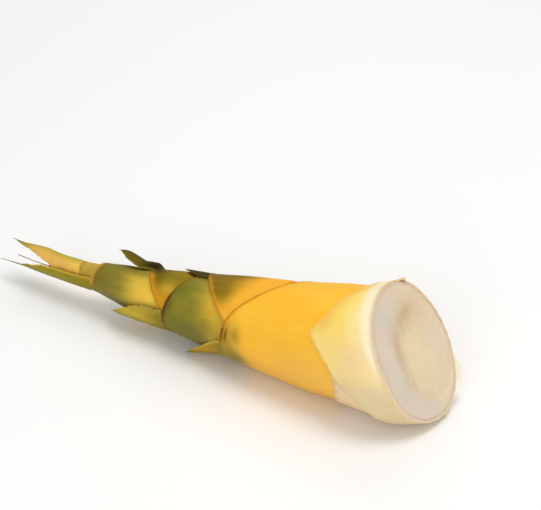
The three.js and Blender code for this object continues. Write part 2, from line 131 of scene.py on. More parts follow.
SHEATHS = [
    dict(name="sheath_1", slot="base_sheath", start=None, thickness=0.8, swell=2.3, edge_length=28,
         edge_share=0.75,
         torn=[(0, 29), (33.75, 28), (56.25, 36), (90, 31), (123.75, 42), (157.5, 33), (180, 25),
               (213.75, 17), (236.25, 15.5), (247.5, 21.5), (258.75, 28.5), (281.25, 38.5), (303.75, 50),
               (326.25, 42), (348.75, 36), (360, 29)]),
    dict(name="sheath_2", slot="pale_sheath", start=None, thickness=0.75, edge_length=12, edge_share=0.8,
         torn=[(0, 24), (45, 21), (90, 26), (135, 34), (180, 42), (225, 40), (247.5, 35), (270, 33),
               (303.75, 29), (360, 24)]),
    dict(name="sheath_3", slot="yellow_sheath", start=22, thickness=1.8, rank=LOWER_RANK,
         rim=(115.5, 73), power=2.5, slit=(22.5, 56.25),
         blade=(31, [(0, -0.3, 46), (0.15, -0.8, 42), (0.3, -0.9, 35), (0.6, 0.7, 20), (0.8, 2.1, 12),
                       (1, 3.9, 2)])),
    dict(name="sheath_4", slot="amber_sheath", start=60, thickness=1.6, rank=UPPER_RANK,
         rim=(143, 97), power=-1,
         blade=(21, [(0, 0, 36), (0.3, -0.5, 37), (0.6, -1, 28), (0.8, -1.3, 16), (1, -1.6, 2)])),
    dict(name="sheath_5", slot="green_sheath", start=86, thickness=1.6, rank=LOWER_RANK,
         rim=(161.5, 142), power=2.5,
         blade=(44.5, [(0, 0, 58), (0.25, -0.1, 60), (0.5, -0.3, 53), (0.75, -0.8, 32), (0.88, -1, 22),
                       (1, -1.7, 4)])),
    dict(name="sheath_6", slot="olive_sheath", start=114, thickness=1.5, rank=UPPER_RANK,
         rim=(184, 154), power=-0.75,
         root=7, lead=6, hug=1,
         blade=(31, [(0, 3.9, 30), (0.15, 3.2, 37), (0.3, 2.7, 39), (0.5, 4.2, 34), (0.7, 5.6, 24),
                       (0.85, 5.8, 15), (1, 4.8, 2)])),
    dict(name="sheath_7", slot="tip_sheath", start=140, thickness=1.4, rank=LOWER_RANK,
         rim=(222.5, 220), power=3,
         blade=(77, [(0, 0.2, 72), (0.25, 0, 67), (0.5, -0.5, 62), (0.62, -0.9, 47), (0.75, -1.6, 20),
                       (0.88, -1.5, 10), (1, -1.3, 3)])),
    dict(name="sheath_8", slot="tan_sheath", start=166, thickness=1.3, rank=UPPER_RANK,
         rim=(235.5, 231), power=2, root=1.5,
         blade=(60, [(0, 0, 124), (0.25, -0.5, 134), (0.35, -0.2, 124), (0.41, 0.1, 106), (0.52, 0.9, 86),
                       (0.68, 0.4, 64), (0.83, -0.3, 42), (1, 0.5, 5)])),
]

# ---- Finer detail, the scene's own ----

# Fineness of the meshes
RING_COLUMNS = 288
SLIT_COLUMNS = 305
ROW_SPACING = 1.3
SPARE_ROWS = 8
ROW_CROWDING = 0.9
LOWEST_CUT = -12
BLADE_ROWS = 110
BLADE_COLUMNS = 56
FLAP_ROWS = 16
FLAP_COLUMNS = 40
FLESH_COLUMNS = 240
HEART_COLUMNS = 48
HEART_ROWS = 120
KNOT_SAMPLES = 481
ROUNDING_SAMPLES = 39
SHARP_ANGLE = 50

# Waviness that all layers follow together: height, waves round, drift per mm, phase
WAVES = [(0.28, 3, 0.045, 1.3), (0.22, 5, -0.06, 0.4), (0.16, 2, 0.12, 0)]
WAVES_END = 250
WAVES_FADE = 120

# Ragged edges: height, waves, and a seed to which the sheath's number is added
TEARS = [(0.7, 9, 40), (0.5, 16, 60)]
CUT_TEARS = (0.22, 14, 20)
NICKS = (0.03, 5, 80)
CURL = (0.5, 3, 90)
CURL_PERIOD = 1.3
CURL_FADE = 8
CURL_TIP_RATE = 3
FLAP_TEARS = (0.3, 8, 7)
TORN_RAGGED = 0.75
GROWN_RAGGED = 0.22
COVERED_RAGGED = 0.3  # share of it that stays where another sheath covers the margin
UNCOVERED_AFTER = 2
UNCOVERED_LENGTH = 8

# Edges of the walls: closed up at the cut, thinned out where torn, lifted into a lip where grown
CUT_CLOSING = 0.3
CUT_CLOSING_LENGTH = 4
FEATHER = 0.45
FEATHER_LENGTH = 2.5
LIP = 0.3
LIP_LENGTH = 4
TUFT = dict(angle=24, half_width=5, point=1.3, length=1.4, lift=1.7, root=4)

# Blades: their section, midrib and narrow tip
BLADE_THICKNESS = (0.65, 0.35)  # at the root and at the tip
BLADE_EDGE_SHARE = 0.45
BLADE_LEAST_ANGLE = 0.3
BLADE_TIP_FROM = 0.7
BLADE_TIP_LENGTH = 0.3
BLADE_TIP_LOSS = 2
RIDGE_HEIGHT = 0.3
RIDGE_WIDTH = 0.09
RIDGE_FADE = 5
RIDGE_TIP_RATE = 4
ROOT_SINK = 0.5
ROOT_SINK_LENGTH = 1.6
BLADE_MARK = 0.02  # least share along a blade in its vertex attribute, which is 0 on a sheath

# Flap: thickness, wave across it, and the readings that its skin is coloured by
FLAP_THICKNESS = 0.35
FLAP_CURL = 0.5
FLAP_WAVE = 9
FLAP_PAST_CUT = -3
FLAP_EDGE = 12
FLAP_INWARD = 0.5

# Cut face: uneven ripples, and how strongly the foot of the disc's wall is marked with streaks and painted
# shade
RIPPLE, RIPPLE_Y, RIPPLE_Z, RIPPLE_PHASE = 0.3, 0.21, 0.17, 0.8
FINE_RIPPLE, FINE_RIPPLE_Y, FINE_RIPPLE_Z = 0.18, 0.12, 0.33
WALL_LINE = 0.6
WALL_LINE_FROM = 0.8
WALL_LINE_LENGTH = 0.2
WALL_LINE_POWER = 1.5
RIM_POWER = 3
# Rings of the disc, its wall, the shelf and the side: first share, last share, number
DISC_STEPS = (0.02, 1, 44)
WALL_STEPS = (0.1, 1, 10)
SHELF_STEPS = (0.05, 1, 18)
SIDE_STEPS = (0.02, 0.99, 60)
FIBRE_RADIUS = 25  # of the cylinder on which the fibres are laid out

# ---- Small helpers ----


def smooth(t):
    c = np.clip(t, 0, 1)
    return c * c * (3 - 2 * c)


def mix(p, q, t):
    return p + (q - p) * t


def cosd(a):
    return np.cos(np.radians(a))


def sind(a):
    return np.sin(np.radians(a))


def turn(a, b):
    """Signed difference of two angles, between -180 and 180."""
    return (a - b + 180) % 360 - 180


def wobble(x, period, waves, number=0):
    """Sum of sine waves with random phases, repeating every period, about as high as asked."""
    height, count, seed = waves
    rng = np.random.default_rng(seed + number)
    total = np.zeros_like(np.asarray(x, float))
    for k in range(count):
        wave = rng.integers(2 + 3 * k, 5 + 5 * k)
        total += rng.uniform(0.4, 1) * np.sin(2 * np.pi * wave * x / period + rng.uniform(0, 2 * np.pi))
    return height * (total / (0.9 * math.sqrt(count) + 0.1))


def eased(knots, t, column):
    """Knot values joined by a line and then rounded off, so that outlines have no corners."""
    columns = list(zip(*knots))
    fine = np.linspace(-0.1, 1.1, KNOT_SAMPLES)
    line = np.interp(fine, columns[0], columns[column])
    kernel = np.hanning(ROUNDING_SAMPLES)
    padded = np.pad(line, ROUNDING_SAMPLES // 2, mode="reflect", reflect_type="odd")
    return np.interp(t, fine, np.convolve(padded, kernel / kernel.sum(), mode="valid"))


# ---- Body surface ----


def axis_slope(s):
    q = np.minimum(s, AXIS_STRAIGHT_FROM) / 100
    return (AXIS_CURVE[0] + 2 * AXIS_CURVE[1] * q + 3 * AXIS_CURVE[2] * q * q) / 100


def axis_height(s):
    """Height of the axis over the table; past the curve it runs on straight."""
    q = np.minimum(s, AXIS_STRAIGHT_FROM) / 100
    height = AXIS_HEIGHT + AXIS_CURVE[0] * q + AXIS_CURVE[1] * q * q + AXIS_CURVE[2] * q ** 3
    return height + axis_slope(s) * np.maximum(0, s - AXIS_STRAIGHT_FROM)


def at(s, a, r):
    """Points at station s, angle a and distance r from the axis, in the row frame."""
    s, a, r = np.broadcast_arrays(s, a, r)
    slope = axis_slope(s)
    run = 1 / np.hypot(1, slope)
    up = r * cosd(a)
    points = np.stack([-s + up * slope * run, r * sind(a), axis_height(s) + up * run], -1)
    return points + ORIGIN


def to_table(s, a, height):
    """Distance from the axis at which a point is at the given height, or very far if it faces up."""
    down = -cosd(a)
    reach = (axis_height(s) - height) * np.hypot(1, axis_slope(s)) / np.maximum(down, 1e-6)
    return np.where(down > 1e-6, reach, 1e6)


def cut_slope(a):
    """How fast the plane of the cut moves toward the tip with the distance from the axis."""
    return CUT_SLOPE_UP * cosd(a) + CUT_SLOPE_SIDE * sind(a)


def unevenness(s, a):
    """Height of the waviness over the smooth body."""
    t = np.radians(a)
    wave = sum(height * np.sin(turns * t + drift * s + phase) for height, turns, drift, phase in WAVES)
    return wave * smooth((WAVES_END - s) / WAVES_FADE)


def body_radius(s, a):
    """Distance from the axis to the outside of the shoot."""
    taper = BODY_RADIUS * np.maximum(LEAST_TAPER, 1 - s / BODY_LENGTH) ** TAPER_POWER
    flare = BASE_FLARE * (1 - smooth(s / FLARE_LENGTH))
    t = np.radians(a)
    roll = (CUT_ROLL[0] + CUT_ROLL[1] * np.cos(t) + CUT_ROLL[2] * np.sin(t)
            + CUT_ROLL[3] * np.cos(2 * t) + CUT_ROLL[4] * np.sin(2 * t))
    from_cut = np.maximum(0, s - CUT_STATION - BODY_RADIUS * cut_slope(a))
    roll = roll * np.maximum(0, 1 - from_cut / CUT_ROLL_LENGTH) ** 2
    down = np.maximum(0, -np.cos(t))
    settled = smooth((s - SETTLE_FROM) / SETTLE_FADE_IN) * smooth((SETTLE_TO - s) / SETTLE_FADE_OUT)
    sag = SETTLE_DEPTH * settled * down ** SETTLE_POWER
    return np.minimum(to_table(s, a, 0), taper + flare - roll + sag + unevenness(s, a))


def cut_station(a, depth):
    """Station where a surface at this depth under the body meets the plane of the cut."""
    s = CUT_STATION
    for _ in range(CUT_PASSES):
        s = CUT_STATION + (body_radius(s, a) - depth(s, a)) * cut_slope(a)
    return s


# ---- Sheath layers ----


def margin(sheath, a):
    """Station of a sheath's margin. A slit sheath carries angles past a full turn on its outer arm."""
    if "torn" in sheath:
        angles, stations = zip(*sheath["torn"])
        return np.interp(a, angles, stations)
    high, low = sheath["rim"]
    away = np.abs(a - sheath["rank"] if "slit" in sheath else turn(a, sheath["rank"]))
    u = (1 - cosd(np.minimum(away, 180))) / 2
    power = sheath["power"]
    drop = u ** power if power > 0 else 1 - (1 - u) ** -power
    return high - (high - low) * drop - ARM_DROP * np.maximum(0, away - 180)


def own_angle(sheath, a):
    """Angle brought into the range that a sheath's margin is written in."""
    first = sheath.get("slit", (0, 0))[0]
    return first + (a - first) % 360


def wall(sheath, s, a):
    """Thickness of a sheath's wall."""
    toward = np.maximum(0, cosd(a - SWELL_TOWARD)) ** SWELL_POWER
    swell = sheath.get("swell", 0) * toward
    thinned = smooth(1 + (s - margin(sheath, a)) / sheath.get("edge_length", EDGE_LENGTH))
    edge = sheath["thickness"] * sheath.get("edge_share", EDGE_SHARE)
    return mix(sheath["thickness"] + swell, edge, thinned)


def doubled(sheath, a):
    """1 where the arms of a slit sheath lie over each other, 0 away from there."""
    if "slit" not in sheath:
        return 0
    first, last = sheath["slit"]
    outside = np.abs(turn(a, (first + last) / 2)) - (last - first) / 2
    return smooth(1 - outside / OVERLAP_FADE)


def room(sheath, s, angle):
    """Room that one sheath takes between the body surface and everything inside it."""
    a = own_angle(sheath, angle)
    edge = margin(sheath, a)
    full = wall(sheath, np.minimum(s, edge), a) + GAP
    return full * (1 + doubled(sheath, a)) * (1 - smooth((s - edge - GAP) / RISE_LENGTH))


def depth_of(index, s, a):
    """Depth of a sheath under the body surface."""
    depth = 0
    for sheath in SHEATHS[:index]:
        depth = depth + room(sheath, s, a)
    return depth


def core_depth(s, a):
    """Depth of the flesh: a sheath only takes room past its own root."""
    depth = 0
    for sheath in SHEATHS:
        rooted = 1
        if sheath["start"] is not None:
            rooted = smooth((s - sheath["start"] + LEDGE_LENGTH + LEDGE_MARGIN) / LEDGE_LENGTH)
        depth = depth + rooted * room(sheath, s, a)
    return depth


# The frame's origin against the cut centre, read off the tip of the flesh, which lies on the axis
ORIGIN = np.zeros(3)
flesh_points = np.array([v.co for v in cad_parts["flesh"].data.vertices]) / MM
flesh_tip = flesh_points[flesh_points[:, 0].argmin()]
ORIGIN = flesh_tip - at(FLESH_END + END_CAP, 0, 0)

# ---- Meshes ----


def placed(name, data):
    """A new object in the scene."""
    item = bpy.data.objects.new(name, data)
    bpy.context.scene.collection.objects.link(item)
    return item


def build(name, points, faces, attributes, material, node):
    """A smooth mesh object from millimetre points, standing for a CAD node."""
    mesh = bpy.data.meshes.new(name)
    mesh.from_pydata((points * MM).tolist(), [], faces)
    for key, values in attributes.items():
        layer = mesh.attributes.new(key, "FLOAT_VECTOR", "POINT")
        layer.data.foreach_set("vector", values.astype(np.float32).ravel())
    mesh.polygons.foreach_set("use_smooth", np.ones(len(faces), bool))
    mesh.update()
    mesh.set_sharp_from_angle(angle=math.radians(SHARP_ANGLE))
    mesh.materials.append(material)
    piece = placed(name, mesh)
    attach(piece, "root")
    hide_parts(node)


def strip(first, second, closed):
    """Quads between two equally long lists of point numbers."""
    if closed:
        after_first, after_second = np.roll(first, -1), np.roll(second, -1)
        return np.stack([first, after_first, after_second, second], -1)
    return np.stack([first[:-1], first[1:], second[1:], second[:-1]], -1)


def shell(outer, inner, ring):
    """Points and quads of a thin closed solid between two facing grids, [row, column, xyz]."""
    rows, columns = outer.shape[:2]
    top = np.arange(rows * columns).reshape(rows, columns)
    bottom = top + rows * columns
    quads = [strip(top[r], top[r + 1], ring) for r in range(rows - 1)]
    quads += [strip(bottom[r + 1], bottom[r], ring) for r in range(rows - 1)]
    quads += [strip(bottom[0], top[0], ring), strip(top[-1], bottom[-1], ring)]
    if not ring:
        quads += [strip(top[:, 0], bottom[:, 0], False), strip(bottom[:, -1], top[:, -1], False)]
    return np.concatenate([outer.reshape(-1, 3), inner.reshape(-1, 3)]), np.concatenate(quads)


def spindle(rings, first, last):
    """Points and faces of a closed solid from equal rings and a point at each end."""
    count, columns = rings.shape[:2]
    index = np.arange(count * columns).reshape(count, columns)
    quads = np.concatenate([strip(index[r], index[r + 1], True) for r in range(count - 1)])
    ends = [(np.roll(index[0], -1), index[0], index.size),
            (index[-1], np.roll(index[-1], -1), index.size + 1)]
    caps = np.concatenate([np.stack(np.broadcast_arrays(*end), -1) for end in ends])
    points = np.concatenate([rings.reshape(-1, 3), first[None], last[None]])
    return points, quads.tolist() + caps.tolist()


def joined(parts):
    """One set of points, quads and attributes from several."""
    points, quads, lay, way = zip(*parts)
    starts = np.cumsum([0] + [len(own) for own in points[:-1]])
    quads = [own + start for own, start in zip(quads, starts)]
    return (np.concatenate(points), np.concatenate(quads),
            {"lay": np.concatenate(lay), "way": np.concatenate(way)})


def triples(*values):
    """A vertex attribute: three readings for each point."""
    return np.stack(np.broadcast_arrays(*values), -1).reshape(-1, 3).astype(float)


def lay_of(s, a):
    """Where a point lies on a cylinder round the axis: fibres run along it."""
    return triples(FIBRE_RADIUS * cosd(a), FIBRE_RADIUS * sind(a), s)


# ---- Sheaths and blades ----
# Their attribute "way" holds the distance inside the margin, then on torn sheaths 0 outside or 1 inside
# and the distance from the cut, and on the others the share of a half turn from the blade and 0. On a
# blade the last two are the share of the way out to its edge and the share along it.


def uncovered(index, a):
    """1 where a sheath's own margin is the outermost one there, 0 where another covers it."""
    sheath = SHEATHS[index]
    if index == 0:
        return 1
    covers = np.max([margin(other, own_angle(other, a)) for other in SHEATHS[:index]], axis=0)
    return smooth((margin(sheath, a) - covers - UNCOVERED_AFTER) / UNCOVERED_LENGTH)


def sheath_grid(index):
    """A sheath's wall, from its root or the cut to its ragged margin."""
    sheath = SHEATHS[index]
    ring = "slit" not in sheath
    torn = "torn" in sheath
    first, last = sheath.get("slit", (0, 0))
    columns = RING_COLUMNS if ring else SLIT_COLUMNS
    a = first + np.linspace(0, 360 + last - first, columns, endpoint=not ring)[None, :]
    nominal = margin(sheath, a)
    free = uncovered(index, a)
    ragged = sum(wobble(a, 360, waves, index) for waves in TEARS)
    edge = nominal + ragged * (TORN_RAGGED if torn else GROWN_RAGGED) * mix(COVERED_RAGGED, 1, free)
    longest = np.max(nominal) - (sheath["start"] or LOWEST_CUT)
    share = np.linspace(0, 1, int(longest / ROW_SPACING) + SPARE_ROWS)[:, None] ** ROW_CROWDING
    under = 0 if ring else np.where(a > first + 180, 0, doubled(sheath, a))
    face = cut_station(a, lambda s, angle: 0)
    tuft = 0
    if index == 0:
        tuft = np.maximum(0, 1 - np.abs(a - TUFT["angle"]) / TUFT["half_width"]) ** TUFT["point"]

    def outer_depth(s, angle):
        return depth_of(index, s, angle) + under * (wall(sheath, s, angle) + GAP)

    def inner_depth(s, angle):
        closed = CUT_CLOSING * smooth(1 - (s - face) / CUT_CLOSING_LENGTH) if torn else 0
        return outer_depth(s, angle) + wall(sheath, s, angle) + closed

    grids, lays, ways = [], [], []
    for inward, depth in enumerate((outer_depth, inner_depth)):
        start = sheath["start"]
        if start is None:
            start = cut_station(a, depth) - TUFT["length"] * tuft + wobble(a, 360, CUT_TEARS, index)
        s = start + (edge - start) * share
        near_edge = smooth(1 - (edge - s) / (FEATHER_LENGTH if torn else LIP_LENGTH))
        lip = -FEATHER * near_edge * (1 - inward) if torn else LIP * free * near_edge
        lip = lip + TUFT["lift"] * tuft * smooth(1 - (s - start) / TUFT["root"])
        radius = np.minimum(body_radius(s, a) - depth(s, a) + lip, to_table(s, a, 0))
        grids.append(at(s, a, radius))
        lays.append(lay_of(s, a))
        if torn:
            ways.append(triples(edge - s, inward, s - face))
        else:
            ways.append(triples(edge - s, np.abs(turn(a, sheath["rank"])) / 180, 0))
    points, quads = shell(*grids, ring)
    return points, quads, np.concatenate(lays), np.concatenate(ways)


def skin(s, a, radius, thickness, way):
    """A thin skin with four free edges, by the outside of it."""
    points, quads = shell(at(s, a, radius), at(s, a, radius - thickness), False)
    lay = lay_of(s, a)
    return points, quads, np.concatenate([lay, lay]), np.concatenate([way, way])


def blade_grid(index):
    """A leaf blade: a curved tongue that carries on from the rim and leaves the body."""
    sheath = SHEATHS[index]
    length, knots = sheath["blade"]
    rank = sheath["rank"]
    root = sheath.get("root", BLADE_ROOT)
    rim_radius = body_radius(sheath["rim"][0], rank) + BLADE_PROUD
    along = mix(-root, length, np.linspace(0, 1, BLADE_ROWS)[:, None])
    across = np.linspace(-1, 1, BLADE_COLUMNS)[None, :]
    t = np.maximum(0, along / length)
    narrowed = BLADE_TIP_LOSS * smooth((t - BLADE_TIP_FROM) / BLADE_TIP_LENGTH)
    spread = np.maximum(BLADE_LEAST_ANGLE, eased(knots, t, 2) - narrowed)
    nick = wobble(along / length + 0 * across, 1, NICKS, index) * np.abs(across) ** 3
    a = rank + spread * across * (1 - nick)
    s = mix(margin(sheath, a), margin(sheath, rank), t) + along
    free = rim_radius + eased(knots, t, 1) * (1 - sheath.get("hug", 0) * across ** 2 * (1 - t))
    risen = smooth((along + sheath.get("lead", BLADE_LEAD)) / BLADE_RISE)
    radius = mix(body_radius(s, a) + BLADE_PROUD, free, risen)
    ridge = RIDGE_HEIGHT * np.exp(-(across / RIDGE_WIDTH) ** 2) * smooth(along / RIDGE_FADE)
    curl = wobble(t + 0 * across, CURL_PERIOD, CURL, index) * np.abs(across) ** 2 * smooth(along / CURL_FADE)
    sunk = ROOT_SINK * smooth(1 - (along + root) / ROOT_SINK_LENGTH)
    radius = radius + ridge * smooth((1 - t) * RIDGE_TIP_RATE) + curl * smooth((1 - t) * CURL_TIP_RATE)
    radius = np.minimum(radius - sunk, to_table(s, a, BLADE_CLEARANCE))
    thin = mix(*BLADE_THICKNESS, t) * mix(BLADE_EDGE_SHARE, 1, 1 - np.abs(across) ** 4)
    return skin(s, a, radius, thin, triples(-along, np.abs(across), mix(BLADE_MARK, 1, t)))


def flap_grid():
    """A pointed scrap of thin skin that runs on past the cut."""
    a = np.linspace(FLAP["start"], FLAP["end"], FLAP_COLUMNS)[None, :]
    share = np.linspace(0, 1, FLAP_ROWS)[:, None]
    span = (a - FLAP["start"]) / (FLAP["end"] - FLAP["start"])
    reach = (FLAP["length"] * np.maximum(0, np.sin(np.pi * span)) ** FLAP["point"]
             + wobble(span, 1, FLAP_TEARS) * np.sin(np.pi * span))
    s = cut_station(a, lambda s, angle: FLAP["sink"]) + mix(FLAP["root"], -reach, share)
    radius = body_radius(s, a) - FLAP["sink"] + FLAP_CURL * share ** 2 * np.sin(FLAP_WAVE * span + 1)
    return skin(s, a, radius, FLAP_THICKNESS, triples(FLAP_EDGE, FLAP_INWARD, FLAP_PAST_CUT * share + 0 * a))


# ---- Shader building ----


def linear(color):
    """Linear colour from 0-255 screen values."""
    screen = np.array(color) / 255
    values = np.where(screen <= 0.04045, screen / 12.92, ((screen + 0.055) / 1.055) ** 2.4)
    return (*values.tolist(), 1)


class Shader:
    """A node material written as expressions.

    A value is a number, a socket, or a colour by its 0-255 screen values. color is the colour so far,
    place a point's lay and ragged how far the edges of patches wander.
    """

    def __init__(self, name, roughness, subsurface=0, specular=0.12):
        self.material = bpy.data.materials.new(name)
        self.material.use_nodes = True
        self.tree = self.material.node_tree
        self.tree.nodes.clear()
        self.bsdf = self.node("BsdfPrincipled", {
            "Roughness": roughness, "Specular IOR Level": specular, "Subsurface Weight": subsurface,
            "Subsurface Radius": [1, 0.6, 0.3], "Subsurface Scale": 0.003})
        self.node("OutputMaterial", {"Surface": self.bsdf.outputs["BSDF"]})

    def put(self, socket, value):
        """Links or sets a value; a list is set as it is."""
        if isinstance(value, bpy.types.NodeSocket):
            self.tree.links.new(value, socket)
        else:
            socket.default_value = linear(value) if isinstance(value, tuple) else value

    def node(self, kind, values, **settings):
        """A new node, with values for sockets by their name or number."""
        node = self.tree.nodes.new(f"ShaderNode{kind}")
        for key, setting in settings.items():
            setattr(node, key, setting)
        for socket, value in values.items():
            self.put(node.inputs[socket], value)
        return node

    def math(self, operation, *values):
        return self.node("Math", dict(enumerate(values)), operation=operation).outputs[0]

    def add(self, *values):
        return functools.reduce(lambda total, value: self.math("ADD", total, value), values)

    def times(self, *values):
        return functools.reduce(lambda total, value: self.math("MULTIPLY", total, value), values)

    def step(self, value, low, high):
        """0 below low and 1 above high, smooth between; low may be the larger."""
        ends = {"From Min": min(low, high), "From Max": max(low, high),
                "To Min": float(low > high), "To Max": float(low <= high)}
        return self.node("MapRange", {"Value": value, **ends}, interpolation_type="SMOOTHSTEP").outputs[0]

    def blend(self, factor, first, second, mode="MIX"):
        values = {0: factor, 6: first, 7: second}
        return self.node("Mix", values, data_type="RGBA", blend_type=mode).outputs[2]

    def tint(self, color, other, *shares, mode="MIX"):
        """A colour turned toward another by the product of some shares."""
        return self.blend(self.times(*shares), color, other, mode)

    def attribute(self, name):
        """A vertex attribute: the vector and its three readings."""
        vector = self.node("Attribute", {}, attribute_name=name).outputs["Vector"]
        return vector, *self.node("SeparateXYZ", {0: vector}).outputs

    def stretched(self, vector, stretch):
        return self.node("VectorMath", {0: vector, 1: list(stretch)}, operation="MULTIPLY").outputs[0]

    def noise(self, vector, stretch, detail, roughness=0.5, distortion=0):
        """Noise around a half, with as many waves per unit along each axis as the stretch says."""
        return self.node("TexNoise", {
            "Vector": self.stretched(vector, stretch), "Scale": 1, "Detail": detail,
            "Roughness": roughness, "Distortion": distortion}).outputs["Fac"]

    def spots(self, vector, stretch, size):
        """1 inside scattered dots."""
        node = self.node("TexVoronoi", {"Vector": self.stretched(vector, stretch), "Scale": 1})
        return self.step(node.outputs["Distance"], size, size * 0.5)

    def centred(self, noise, size):
        """Noise around a half, as a length around zero."""
        return self.times(self.add(noise, -0.5), size)

    def shifted(self, value, noise, size):
        return self.add(value, self.centred(noise, size))

    def near(self, *squares):
        """1 in the middle of a soft-edged spot, from the parts of the squared distance."""
        far = self.math("MAXIMUM", self.add(*squares), 0)
        return self.math("EXPONENT", self.times(far, -1))

    def blob(self, station, angle, length, width):
        """1 inside a soft-edged spot on the body: its middle, half its length and half its width."""
        x, y, s = self.place
        toward = self.add(self.times(x, cosd(angle) / FIBRE_RADIUS),
                          self.times(y, sind(angle) / FIBRE_RADIUS))
        aside = self.times(self.add(1, self.times(toward, -1)), 1 / (1 - cosd(width)))
        ahead = self.times(self.add(s, -station), 1 / length)
        return self.near(self.times(ahead, ahead), aside, self.ragged)

    def paint(self, other, *shares, mode="MIX"):
        """Lays another colour over the colour so far."""
        self.color = self.tint(self.color, other, *shares, mode=mode)

    def paint_patches(self, patches):
        for *where, other, amount in patches:
            self.paint(other, self.blob(*where), amount)

    def fibres(self, lay):
        """Fine lines, coarse lines and slow clouds, all drawn out along the shoot."""
        fine = self.noise(lay, (1.9, 1.9, 0.035), 3, 0.6)
        coarse = self.noise(lay, (0.45, 0.45, 0.02), 3)
        cloud = self.noise(lay, (0.07, 0.07, 0.04), 2)
        return fine, coarse, cloud

    def finish(self, height, depth, rough=None):
        """The material with the colour so far, bumps of the given depth and its roughness."""
        self.put(self.bsdf.inputs["Base Color"], self.color)
        bump = self.node("Bump", {"Strength": 1, "Distance": depth * MM, "Height": height})
        self.put(self.bsdf.inputs["Normal"], bump.outputs["Normal"])
        if rough is not None:
            self.put(self.bsdf.inputs["Roughness"], rough)
        return self.material


# ---- Materials ----


